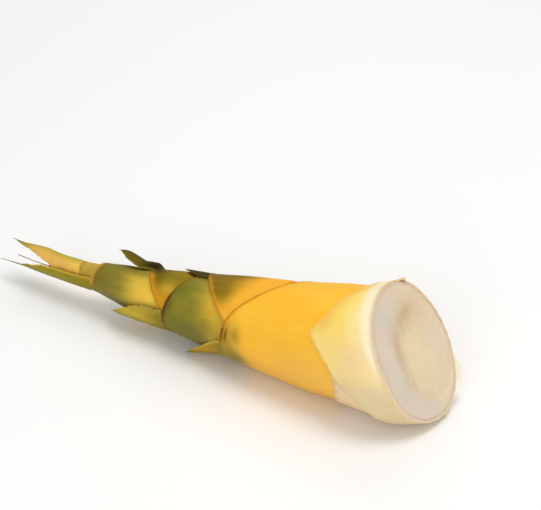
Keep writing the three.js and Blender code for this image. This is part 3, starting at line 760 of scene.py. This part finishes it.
def sheath_material(name, warm, pale, green, dark, fibre, reach, patches, band, rim, root, middle, tip,
                    spine, hem, soft=24, most=0.95, fade=None, band_from=(-0.1, 0),
                    rim_low=None, rim_dark=None, ligule=0, spine_to=0.6, hem_amount=0.6, tip_from=0.7,
                    over=0, blush=None, specular=0.06):
    """Warm toward the root, green toward the margin and the blade, with a thin dry rim.

    warm, green: the two colours of the ground, each above and underneath; the underneath ones are partly
    painted shade.
    pale, dark: clouds in the one and in the other. fibre: colour that the lines are darkened by.
    reach: how far inside the margin the green goes, under the blade and on the opposite side.
    soft: length over which the green sets in. most: the most of it.
    fade, band_from: shares of a half turn from the blade where the green ends and the band begins.
    patches: soft-edged areas, (station, angle, half length, half width, colour, amount).
    band, rim: (colour, width, amount). rim_low: colour of both on the underside.
    rim_dark: stretch of the rim like a patch, but the last value is the amount of a second line.
    root, middle, tip, hem, spine: colours of the blade, the spine's with its amount.
    blush: cloud on the blade. over: how far before the rim the blade's colours start.
    ligule: amount of a line across the blade's root.
    """
    sh = Shader(name, 0.45, 0.03, specular)
    lay, x, y, s = sh.attribute("lay")
    _, edge, away, along = sh.attribute("way")
    sh.place = (x, y, s)
    fine, coarse, cloud = sh.fibres(lay)
    on_blade = sh.step(along, BLADE_MARK * 0.2, BLADE_MARK * 0.8)
    off_blade = sh.add(1, sh.times(on_blade, -1))
    # warm ground and green over it, each turning to its underneath colour low down, partly as painted shade
    low = sh.step(sh.shifted(x, cloud, 14), 4, -22)
    sh.color = sh.tint(sh.blend(low, *warm), pale, sh.step(cloud, 0.4, 0.62), 0.4)
    mottle = sh.step(sh.shifted(cloud, coarse, 0.35), 0.42, 0.64)
    grass = sh.tint(sh.blend(low, *green), dark, mottle, 0.5)
    near, far = reach
    inside = sh.add(near, sh.times(away, far - near), sh.times(edge, -1), sh.centred(cloud, 14),
                    sh.centred(coarse, 4))
    greened = sh.times(sh.step(inside, -soft / 2, soft / 2), most)
    if fade:
        greened = sh.times(greened, sh.step(sh.shifted(away, cloud, 0.2), *reversed(fade)))
    sh.paint(grass, greened)
    sh.ragged = sh.add(sh.centred(cloud, 1.2), sh.centred(coarse, 0.5))
    sh.paint_patches(patches)
    # a band just inside the rim, then the rim itself
    band_color, band_width, band_amount = band
    own_color, rim_width, rim_amount = rim
    rim_color = own_color
    if rim_low:
        below = sh.step(sh.shifted(x, cloud, 4), 2, -5)
        band_color = sh.blend(below, band_color, rim_low)
        rim_color = sh.blend(below, rim_color, rim_low)
    sh.paint(band_color, sh.step(sh.shifted(edge, coarse, 2.5), band_width, 0.5), sh.step(away, *band_from),
             off_blade, band_amount)
    wander = sh.shifted(edge, sh.noise(lay, (0.25, 0.25, 0.25), 3, 0.55), 1.4)
    dry = sh.step(wander, rim_width, 0.2)
    if rim_dark:
        *where, dark_color, twin = rim_dark
        stretch = sh.math("MINIMUM", sh.times(sh.blob(*where), 1.4), 1)
        rim_color = sh.blend(stretch, rim_color, dark_color)
        first = sh.times(sh.step(wander, 2.6, 1.8), stretch)
        second = sh.times(sh.step(wander, 2, 3.2), sh.step(wander, 5.6, 4.2),
                          sh.step(coarse, 0.25, 0.45), stretch, twin)
        dry = sh.math("MAXIMUM", dry, sh.math("MAXIMUM", first, second))
    dry = sh.times(dry, off_blade, rim_amount)
    sh.paint(rim_color, dry)
    # the blade: root, middle and tip, its spine and its edges
    tongue = sh.blend(sh.step(along, 0.02, 0.45), root, middle)
    on_spine = sh.step(sh.shifted(away, coarse, 0.3), spine_to, 0)
    tongue = sh.tint(tongue, spine[0], on_spine, spine[1])
    tongue = sh.tint(tongue, hem, sh.step(away, 0.82, 0.98), hem_amount)
    tongue = sh.tint(tongue, dark, sh.step(coarse, 0.45, 0.65), 0.3)
    if blush:
        cloudy = sh.step(sh.noise(lay, (0.12, 0.12, 0.05), 2, 0.55), 0.4, 0.55)
        amid = sh.times(sh.step(along, 0.1, 0.3), sh.step(along, 0.8, 0.5), sh.step(away, 0.25, 0.5))
        tongue = sh.tint(tongue, blush, cloudy, amid, 0.6)
    tongue = sh.blend(sh.step(along, tip_from, 1), tongue, tip)
    sh.paint(tongue, sh.step(edge, over + 0.6, over - 1), on_blade)
    sh.paint(rim_color, sh.step(sh.math("ABSOLUTE", wander), 1.1, 0.3), on_blade, ligule)
    # fibres, a painted sheen along the coarse lines, and small marks over everything
    sh.paint(fibre, sh.step(fine, 0.35, 0.7), 0.2, mode="MULTIPLY")
    sh.paint(SHEEN, sh.step(coarse, 0.55, 0.35), 0.16, mode="SCREEN")
    sh.paint(own_color, sh.spots(lay, (0.3, 0.3, 0.1), 0.1), sh.step(cloud, 0.5, 0.6), 0.3)
    height = sh.add(sh.times(fine, 0.4), sh.times(coarse, 0.5), sh.times(dry, 0.2))
    return sh.finish(height, 0.3, sh.add(0.38, sh.times(coarse, 0.16)))


# colour of the painted sheen that is screened over the coarse lines
SHEEN = (56, 50, 12)
LOOKS = {
    "sheath_3": dict(
        warm=((254, 192, 56), (236, 182, 78)), pale=(255, 202, 70),
        green=((166, 142, 46), (158, 138, 66)), dark=(128, 110, 38), rim=((178, 118, 28), 2.2, 0.75),
        rim_low=(150, 126, 50), rim_dark=(112.5, 276, 6, 14, (84, 50, 8), 0.9),
        band=((214, 152, 40), 4, 0.7), fibre=(240, 224, 196), reach=(10, -30), soft=18, most=0.75,
        ligule=0.6, root=(146, 122, 36), middle=(184, 150, 36), tip=(140, 122, 40),
        spine=((150, 130, 48), 0.4), hem=(216, 186, 84),
        patches=[
            # weathered tan behind the rim, an olive bruise in it, a weathered grey-olive band low down, and
            # painted shade over the underside
            (109.5, 268, 5, 30, (160, 126, 38), 0.8),
            (103, 279, 4, 14, (150, 128, 38), 0.7),
            (106, 243, 9, 18, (128, 116, 54), 0.85),
            (50, 258, 32, 26, (236, 184, 92), 0.55),
        ]),
    "sheath_4": dict(
        warm=((250, 182, 56), (248, 182, 60)), pale=(246, 188, 66),
        green=((132, 110, 34), (142, 122, 46)), dark=(98, 80, 24), rim=((160, 104, 26), 1.8, 0.6),
        band=((222, 152, 42), 4.5, 0.7), band_from=(0.1, 0.3), fibre=(238, 222, 192), reach=(46, -36),
        # its blade is dark brown all over: painted shadow of the shoot lying over it
        fade=(0.36, 0.56), over=3, specular=0.01, root=(64, 48, 20), middle=(76, 62, 24),
        tip=(70, 54, 24), spine=((70, 54, 22), 0.5), hem=(104, 86, 36),
        patches=[
            # olive shoulder beside the blade, and the bright corner between two sheaths
            (121, 335, 7, 14, (138, 112, 28), 0.75),
            (106, 324, 6, 16, (252, 186, 58), 0.7),
        ]),
    "sheath_5": dict(
        warm=((196, 166, 56), (176, 146, 58)), pale=(206, 174, 64),
        green=((140, 132, 40), (118, 114, 50)), dark=(108, 108, 34), rim=((134, 92, 24), 2.6, 0.8),
        rim_dark=(160, 290, 9, 32, (80, 50, 22), 0), band=((136, 104, 34), 3.6, 0.65),
        fibre=(232, 226, 196), reach=(42, 7), soft=26, ligule=0.7, root=(140, 124, 40),
        middle=(200, 174, 54), tip=(122, 104, 40), spine=((136, 130, 54), 0.55), hem=(200, 176, 68),
        patches=[
            # dark scuff behind the rim, greener shoulder, dull underside, warm root end
            (158, 294, 4, 20, (94, 76, 28), 0.75),
            (152, 325, 7, 16, (104, 112, 34), 0.75),
            (138, 261, 24, 21, (110, 107, 47), 0.8),
            (121, 322, 8, 32, (232, 178, 58), 0.85),
            (122, 259, 4.5, 12, (190, 156, 62), 0.6),
            (127.5, 281, 5, 9, (122, 116, 46), 0.5),
        ]),
    "sheath_6": dict(
        warm=((212, 152, 38), (220, 154, 34)), pale=(206, 160, 48),
        green=((148, 128, 36), (152, 132, 42)), dark=(118, 108, 28), rim=((150, 94, 20), 1.8, 0.6),
        band=((214, 146, 32), 6.5, 0.85), band_from=(0.18, 0.32), fibre=(238, 224, 192), reach=(52, 34),
        fade=(0.3, 0.66), over=6, specular=0.01, root=(44, 30, 12), middle=(104, 90, 26),
        tip=(70, 62, 20), spine=((56, 44, 16), 0.7), hem=(132, 122, 42),
        patches=[
            # green patch under the hump, brown hump darkened toward the top by painted shadow of the shoot
            # above, yellowed middle, and orange corner below
            (171.5, 337, 6, 14, (110, 102, 24), 0.6),
            (161, 321, 5, 12, (208, 174, 62), 0.75),
            (177, 4, 9, 26, (66, 52, 18), 0.85),
            (161, 296, 6, 18, (214, 150, 32), 0.7),
        ]),
    "sheath_7": dict(
        warm=((218, 186, 66), (210, 178, 70)), pale=(228, 192, 72),
        green=((140, 130, 46), (130, 120, 56)), dark=(116, 110, 44), rim=((204, 156, 66), 3.6, 0.85),
        rim_low=(142, 116, 38), band=((120, 94, 26), 8.5, 0.85), fibre=(232, 226, 198), reach=(29, 28),
        soft=20, ligule=0.5, root=(150, 134, 26), middle=(156, 146, 38), tip=(96, 98, 60),
        tip_from=0.62, spine=((128, 124, 66), 0.6), hem=(220, 176, 66), hem_amount=0.85,
        patches=[
            # shaded band behind the rim, dull underside, browned back, and the bright root end
            (213, 300, 7, 50, (114, 104, 44), 0.6),
            (198, 249, 20, 18, (122, 112, 56), 0.75),
            (188, 352, 16, 18, (118, 108, 40), 0.7),
            (178, 290, 6, 22, (244, 198, 76), 0.7),
            (172, 291, 4, 20, (255, 214, 88), 0.85),
        ]),
    "sheath_8": dict(
        warm=((206, 170, 74), (200, 152, 62)), pale=(214, 180, 86),
        green=((186, 158, 62), (172, 146, 54)), dark=(184, 148, 50), rim=((170, 118, 42), 1.1, 0),
        band=((176, 130, 46), 3.6, 0.7), fibre=(240, 226, 196), reach=(6, 6), root=(255, 204, 96),
        middle=(232, 188, 74), tip=(132, 136, 58), tip_from=0.5, spine=((170, 164, 44), 0.9),
        spine_to=0.75, hem=(230, 174, 56), blush=(232, 180, 108),
        patches=[
            # greener band at the rim
            (226, 310, 4, 40, (170, 148, 60), 0.6),
        ]),
}

BASE_PATCHES = [
    # lemon top, painted shadow of the shoot above at the torn point, flushed middle, and the underside,
    # dulled partly as painted shade
    (25, 344, 9, 14, (255, 222, 98), 0.6),
    (42, 319, 5, 10, (242, 192, 96), 0.65),
    (15, 289, 12, 20, (242, 212, 160), 0.85),
    (8, 250, 14, 18, (224, 205, 165), 0.8),
    (27, 256, 9, 12, (228, 199, 150), 0.7),
]


def base_sheath_material():
    """Bright yellow above, creamy toward the cut and beige underneath, darker there partly as painted shade,
    with a feathered torn edge.
    """
    sh = Shader("base_sheath", 0.4, 0.1, 0.2)
    lay, x, y, s = sh.attribute("lay")
    _, edge, inward, from_cut = sh.attribute("way")
    fine, coarse, cloud = sh.fibres(lay)
    sh.place = (x, y, s)
    sh.ragged = sh.add(sh.centred(cloud, 1.2), sh.centred(coarse, 0.3))
    rise = sh.shifted(x, cloud, 16)
    # yellow above, turning beige and darker underneath, partly as painted shade
    sh.color = sh.blend(sh.step(rise, -4, 20), (250, 222, 148), (255, 222, 116))
    sh.paint((222, 199, 155), sh.step(rise, 6, -17))
    upper = sh.step(x, -10, 6)
    toward_top = sh.times(sh.add(x, -13), -0.3)
    toward_cut = sh.add(from_cut, sh.centred(cloud, 5), toward_top)
    sh.paint((254, 240, 196), sh.step(toward_cut, 20, 3), upper, 0.6)
    sh.paint_patches(BASE_PATCHES)
    sh.paint((254, 242, 208), sh.step(toward_cut, 7.5, 2), upper, 0.85)
    # upward, the skin thins out over the orange leaf under it
    thinned = sh.step(sh.shifted(edge, cloud, 6), 13, 0)
    sh.paint((254, 196, 76), thinned, sh.step(x, 12, 21), 0.8)
    # the torn edge, which is dry only low down on the -Y side
    sh.paint((248, 208, 124), sh.step(sh.shifted(edge, coarse, 5), 3.5, 0.2), 0.45)
    dry = sh.blob(30, 260, 22, 30)
    sh.paint((196, 150, 84), sh.step(edge, 2.4, 0.5), sh.step(coarse, 0.3, 0.5), dry, 0.9)
    # skin folded over the cut, its lines and the cut face of the ring
    seam = sh.noise(lay, (0.3, 0.3, 0.3), 3, 0.55)
    sh.paint((236, 212, 180), sh.step(sh.shifted(from_cut, seam, 1.5), 1.6, 0.3), 0.5)
    low_left = sh.blob(0, 256, 14, 26)
    line = sh.step(sh.shifted(from_cut, seam, 1.6), 1.8, 0.2)
    sh.paint((238, 194, 122), line, low_left, 0.5)
    frayed = sh.blob(12, 32, 16, 40)
    sh.paint((222, 170, 98), line, frayed, 0.8)
    cut_face = sh.times(sh.step(inward, 0.02, 0.1), sh.step(from_cut, 3, 1))
    ring_color = sh.blend(cloud, (240, 220, 188), (232, 210, 182))
    sh.paint(sh.tint(ring_color, (236, 192, 136), frayed, 0.8), cut_face)
    inner_line = sh.times(sh.step(inward, 0.72, 0.97), cut_face, sh.step(seam, 0.35, 0.6))
    sh.paint((226, 182, 142), inner_line, 0.55)
    sh.paint((244, 224, 184), sh.step(fine, 0.4, 0.75), 0.15, mode="MULTIPLY")
    # the flap past the cut, whitest at its edge
    sh.paint((242, 240, 220), sh.step(from_cut, -0.9, -1.8))
    sh.paint((248, 250, 244), sh.step(from_cut, -2, -3.2))
    wrinkle = sh.noise(lay, (0.22, 0.22, 0.14), 4, 0.55, 0.8)
    height = sh.add(sh.times(fine, 0.35), sh.times(coarse, 0.5), sh.times(wrinkle, 1.6))
    return sh.finish(height, 0.35, sh.add(0.34, sh.times(wrinkle, 0.16)))


def pale_sheath_material():
    """Pinkish inner skin with a browner margin."""
    sh = Shader("pale_sheath", 0.45, 0.1, 0.2)
    lay = sh.attribute("lay")[0]
    _, edge, inward, from_cut = sh.attribute("way")
    fine, coarse, cloud = sh.fibres(lay)
    sh.color = sh.blend(sh.step(cloud, 0.4, 0.6), (232, 206, 180), (236, 208, 160))
    sh.paint((226, 182, 104), sh.step(sh.shifted(edge, coarse, 4), 5, 0.6), 0.8)
    cut_face = sh.times(sh.step(inward, 0.02, 0.1), sh.step(from_cut, 3, 1))
    sh.paint((226, 206, 180), cut_face)
    sh.paint((244, 222, 196), sh.step(fine, 0.4, 0.75), 0.25, mode="MULTIPLY")
    return sh.finish(sh.add(fine, coarse), 0.3)


FLESH_PATCHES = [
    # across, up, half width, half height, colour, amount: yellow heart; tan top of the disc, partly painted
    # shadow of the shoot above; the wall's foot, partly browned and partly painted shade; paler rim
    (5, 40, 14, 20, (238, 222, 178), 0.9),
    (8, 60, 10, 9, (222, 188, 142), 0.8),
    (-10, 49, 5, 12, (208, 178, 138), 0.6),
    (27, 36, 7, 11, (238, 214, 194), 0.6),
]


def flesh_material():
    """Moist cut face: greyish shelf, warm sunken disc with fine streaks and scattered vessel dots, and
    streaks with painted shade at the foot of the disc's wall.
    """
    sh = Shader("flesh", 0.36, 0.12, 0.25)
    face, across, up, region = sh.attribute("lay")
    _, wall_shade_amount, rim, side = sh.attribute("way")
    cloud = sh.noise(face, (0.06, 0.05, 0), 3, 0.55)
    streak = sh.noise(face, (0.45, 0.06, 0), 4, 0.6)
    grain = sh.noise(face, (0.9, 0.9, 0.9), 4, 0.6)
    ragged = sh.add(sh.centred(cloud, 1), sh.centred(streak, 0.5))
    clouded = sh.step(cloud, 0.35, 0.65)
    sh.color = sh.blend(clouded, (236, 216, 184), (231, 211, 179))
    shelf = sh.blend(clouded, (222, 210, 192), (230, 212, 192))
    left = sh.step(sh.shifted(side, cloud, 0.3), 0.25, -0.25)
    sh.paint(shelf, left, sh.step(region, 0.7, 0.1))
    for at_y, at_z, wide, high, other, amount in FLESH_PATCHES:
        dy = sh.times(sh.add(across, -at_y), 1 / wide)
        dz = sh.times(sh.add(up, -at_z), 1 / high)
        sh.paint(other, sh.near(sh.times(dy, dy), sh.times(dz, dz), ragged), amount)
    sh.paint((208, 182, 142), sh.step(streak, 0.5, 0.7), sh.step(region, 0.4, 0.9), 0.2)
    # at the foot of the disc's wall on the -Y side: brown streaks together with painted shade
    streaked_wall_shade = sh.times(wall_shade_amount, sh.step(sh.shifted(streak, grain, 0.3), 0.3, 0.7))
    sh.paint((200, 168, 130), streaked_wall_shade, sh.step(side, 0.3, -0.2), 0.45)
    edge_line = sh.times(sh.step(rim, 0.75, 0.95), sh.step(streak, 0.35, 0.6))
    sh.paint((232, 194, 162), edge_line, 0.4)
    dots = sh.spots(face, (0.45, 0.45, 0), 0.14)
    sh.paint((188, 160, 124), dots, sh.step(cloud, 0.4, 0.6), 0.2)
    sh.paint((190, 176, 156), sh.step(grain, 0.35, 0.65), 0.08, mode="MULTIPLY")
    height = sh.add(sh.times(streak, 0.8), sh.times(grain, 0.4), sh.times(dots, -0.2))
    return sh.finish(height, 0.35, sh.add(0.28, sh.times(grain, 0.2)))


def heart_material():
    """Orange-tan, lightest near the root as painted light where the tip blades shade it, dry and grey at the
    very point.
    """
    sh = Shader("heart_leaf", 0.5)
    lay, *_, s = sh.attribute("lay")
    fine, coarse, _ = sh.fibres(lay)
    # lightest near the root: painted light where the tip blades shade it
    sh.color = sh.blend(sh.step(s, 246, 270), (250, 196, 96), (226, 168, 92))
    sh.paint((132, 114, 90), sh.step(s, 274, 284))
    sh.paint((214, 196, 164), sh.step(fine, 0.4, 0.7), 0.3, mode="MULTIPLY")
    return sh.finish(sh.add(fine, coarse), 0.25)


# ---- Pieces ----


def make_sheaths():
    """One piece for each sheath with its blade; the outermost one also carries the flap."""
    for index, sheath in enumerate(SHEATHS):
        name = sheath["name"]
        parts = [sheath_grid(index)]
        if "blade" in sheath:
            parts.append(blade_grid(index))
        if index == 0:
            parts.append(flap_grid())
            material = base_sheath_material()
        elif index == 1:
            material = pale_sheath_material()
        else:
            material = sheath_material(name, **LOOKS[name])
        points, quads, attributes = joined(parts)
        build(f"{name}_leaf", points, quads.tolist(), attributes, material, name)


def make_flesh():
    """The solid flesh, ring by ring: the disc, its wall, the shelf, and the side to the rounded end.

    Its attribute "lay" holds the place on the cut face and 1 on the disc to 0 on the shelf. "way" holds
    how strongly the wall's foot is marked with streaks and painted shade, how strongly the rim is marked,
    and the side, from -1 at -Y to 1 at +Y.
    """
    a = np.arange(FLESH_COLUMNS) * 360 / FLESH_COLUMNS
    rim_station = cut_station(a, core_depth)
    rim = at(rim_station, a, body_radius(rim_station, a) - core_depth(rim_station, a))
    centre = rim.mean(axis=0)
    inward = np.array([-1, 0, -CUT_SLOPE_UP]) / math.hypot(1, CUT_SLOPE_UP)
    # the disc is level with the shelf at the point it shrinks toward, and deepest on the far side
    nearest = rim[int(round(DISC_TOWARD * FLESH_COLUMNS / 360))]
    toward = mix(centre, nearest, DISC_TOWARD_SHARE)
    reach = np.hypot(rim[:, 1] - toward[1], rim[:, 2] - toward[2])
    far = reach / reach.max()
    edge = mix(toward, rim, DISC_SHARE)
    floor = edge + inward * (DISC_DEPTH * far)[:, None]
    hub = floor.mean(axis=0)
    side = (rim[:, 1] - centre[1]) / BODY_RADIUS
    rings, lay, way = [], [], []

    def face_ring(ring, sink, region, line, at_rim):
        y, z = ring[:, 1], ring[:, 2]
        ripple = RIPPLE * np.sin(RIPPLE_Y * y + RIPPLE_PHASE) * np.sin(RIPPLE_Z * z)
        ripple = ripple + FINE_RIPPLE * np.sin(FINE_RIPPLE_Z * z + FINE_RIPPLE_Y * y)
        ring = ring + inward * (sink + ripple * (1 - at_rim))[:, None]
        rings.append(ring)
        lay.append(triples(ring[:, 1], ring[:, 2], region))
        way.append(triples(line * far ** WALL_LINE_POWER, at_rim, side))

    for share in np.linspace(*DISC_STEPS):
        line = WALL_LINE * smooth((share - WALL_LINE_FROM) / WALL_LINE_LENGTH)
        face_ring(mix(hub, floor, share), DISC_BOWL * (1 - share ** 2) * far, 1, line, 0)
    for share in np.linspace(*WALL_STEPS):
        sink = DISC_DEPTH * far * (1 - smooth(share))
        face_ring(mix(edge, rim, DISC_WALL * share), sink, 1 - share, 1 - share ** 2, 0)
    for share in np.linspace(*SHELF_STEPS):
        face_ring(mix(edge, rim, mix(DISC_WALL, 1, share)), 0, 0, 0, share ** RIM_POWER)
    for share in (*np.linspace(*SIDE_STEPS), 1):
        s = mix(rim_station, FLESH_END, share)
        from_end = np.clip((FLESH_END - s) / FLESH_ROUNDING, 0, 1)
        rounded = np.sqrt(1 - (1 - from_end) ** 2 * FLESH_BLUNTNESS)
        ring = at(s, a, (body_radius(s, a) - core_depth(s, a)) * rounded)
        rings.append(ring)
        lay.append(triples(ring[:, 1], ring[:, 2], 0.5))
        way.append(triples(0, 1, side))
    middle = rings[0].mean(axis=0)
    points, faces = spindle(np.array(rings), middle, at(FLESH_END + END_CAP, 0, 0))
    lay += [triples(middle[1], middle[2], 1), triples(0, 0, 0.5)]
    way += [triples(0, 0, 0.2), triples(0, 1, 0)]
    attributes = {"lay": np.concatenate(lay), "way": np.concatenate(way)}
    build("cut_flesh", points, faces, attributes, flesh_material(), "flesh")


def make_heart():
    """The innermost rolled leaf: snug in the shoot, then a leaning dry point."""
    a = np.arange(HEART_COLUMNS) * 360 / HEART_COLUMNS
    bare_radius = body_radius(HEART_BARE_FROM, a) - core_depth(HEART_BARE_FROM, a)
    rings, lay = [], []
    for s in np.linspace(HEART_START, HEART_TIP, HEART_ROWS):
        bare = np.clip((s - HEART_BARE_FROM) / (HEART_TIP - HEART_BARE_FROM), 0, 1)
        lean = HEART_LEAN * smooth(bare * HEART_LEAN_SPEED) * (1 - HEART_LEAN_BACK * bare ** 4)
        snug = body_radius(s, a) - core_depth(s, a)
        free = mix(HEART_TIP_RADIUS, bare_radius, (1 - bare) ** HEART_TAPER_POWER)
        radius = (HEART_ROOT_SHARE if s == HEART_START else 1) * (free if bare > 0 else snug)
        rings.append(at(s, a, radius) + at(s, LOWER_RANK, lean) - at(s, 0, 0))
        lay.append(lay_of(s, a))
    tip = at(HEART_TIP + END_CAP, LOWER_RANK, HEART_LEAN * (1 - HEART_LEAN_BACK))
    points, faces = spindle(np.array(rings), at(HEART_START - END_CAP, 0, 0), tip)
    attributes = {"lay": np.concatenate(lay + [lay_of(HEART_START, 0), lay_of(HEART_TIP, 0)])}
    build("rolled_heart_leaf", points, faces, attributes, heart_material(), "heart_leaf")


# ---- Floor, light and camera ----

# In metres and watts. A lamp has a name, a place, the point it shines at, a power and a colour.
FLOOR_HALF = 6
FLOOR_COLOR = (0.98, 0.98, 0.98, 1)
FLOOR_ROUGHNESS = 0.9
LAMP_SIZE = 0.8
LAMPS = [
    ("key", (0.35, 0.1, 1.3), (0.02, 0, 0.03), 7, (1, 0.985, 0.96)),
    ("front", (0.35, -1.2, 0.55), (0, 0, 0.04), 4.5, (1, 0.99, 0.97)),
    ("back", (-0.5, 0.9, 0.9), (0, 0, 0.03), 2.5, (1, 1, 1)),
]
WORLD_STRENGTH = 0.5

# Camera, fitted to the photograph: azimuth from the -Y side toward +X, and millimetres again
CAMERA_AZIMUTH = 32
CAMERA_ELEVATION = 30
CAMERA_DISTANCE = 1000
CAMERA_TARGET = (-83.298, -19.268, 90.153)  # from the cut centre
IMAGE_WIDTH_PIXELS = 541
FOCAL_PIXELS = 1762.5
SENSOR_WIDTH = 36
FARTHEST_METRES = 50


def make_floor():
    mesh = bpy.data.meshes.new("floor")
    size = FLOOR_HALF
    mesh.from_pydata([(-size, -size, 0), (size, -size, 0), (size, size, 0), (-size, size, 0)], [],
                     [(0, 1, 2, 3)])
    shader = Shader("floor", FLOOR_ROUGHNESS, specular=0)
    shader.bsdf.inputs["Base Color"].default_value = FLOOR_COLOR
    mesh.materials.append(shader.material)
    floor = placed("floor", mesh)


def make_lamp(name, place, aim, power, color):
    data = bpy.data.lights.new(name, "AREA")
    data.shape = "DISK"
    data.size = LAMP_SIZE
    data.energy = power
    data.color = color
    lamp = placed(name, data)
    lamp.location = place
    lamp.rotation_euler = (Vector(aim) - Vector(place)).to_track_quat("-Z", "Y").to_euler()


def make_world():
    world = bpy.data.worlds.new("studio")
    world.use_nodes = True
    background = world.node_tree.nodes["Background"]
    background.inputs["Color"].default_value = (1, 1, 1, 1)
    background.inputs["Strength"].default_value = WORLD_STRENGTH
    bpy.context.scene.world = world
    bpy.context.scene.view_settings.view_transform = "Standard"


def make_camera():
    """The photograph's view."""
    target = np.array(CAMERA_TARGET) + ORIGIN
    azimuth, elevation = math.radians(CAMERA_AZIMUTH), math.radians(CAMERA_ELEVATION)
    back = np.array([math.sin(azimuth) * math.cos(elevation), -math.cos(azimuth) * math.cos(elevation),
                     math.sin(elevation)])
    data = bpy.data.cameras.new("camera")
    data.sensor_fit = "HORIZONTAL"
    data.sensor_width = SENSOR_WIDTH
    data.lens = FOCAL_PIXELS * SENSOR_WIDTH / IMAGE_WIDTH_PIXELS
    data.clip_end = FARTHEST_METRES
    camera = placed("camera", data)
    camera.location = Vector(((target + back * CAMERA_DISTANCE) * MM).tolist())
    camera.rotation_euler = Vector((-back).tolist()).to_track_quat("-Z", "Y").to_euler()
    bpy.context.scene.camera = camera


make_camera()
make_flesh()
make_sheaths()
make_heart()
make_floor()
for lamp in LAMPS:
    make_lamp(*lamp)
make_world()
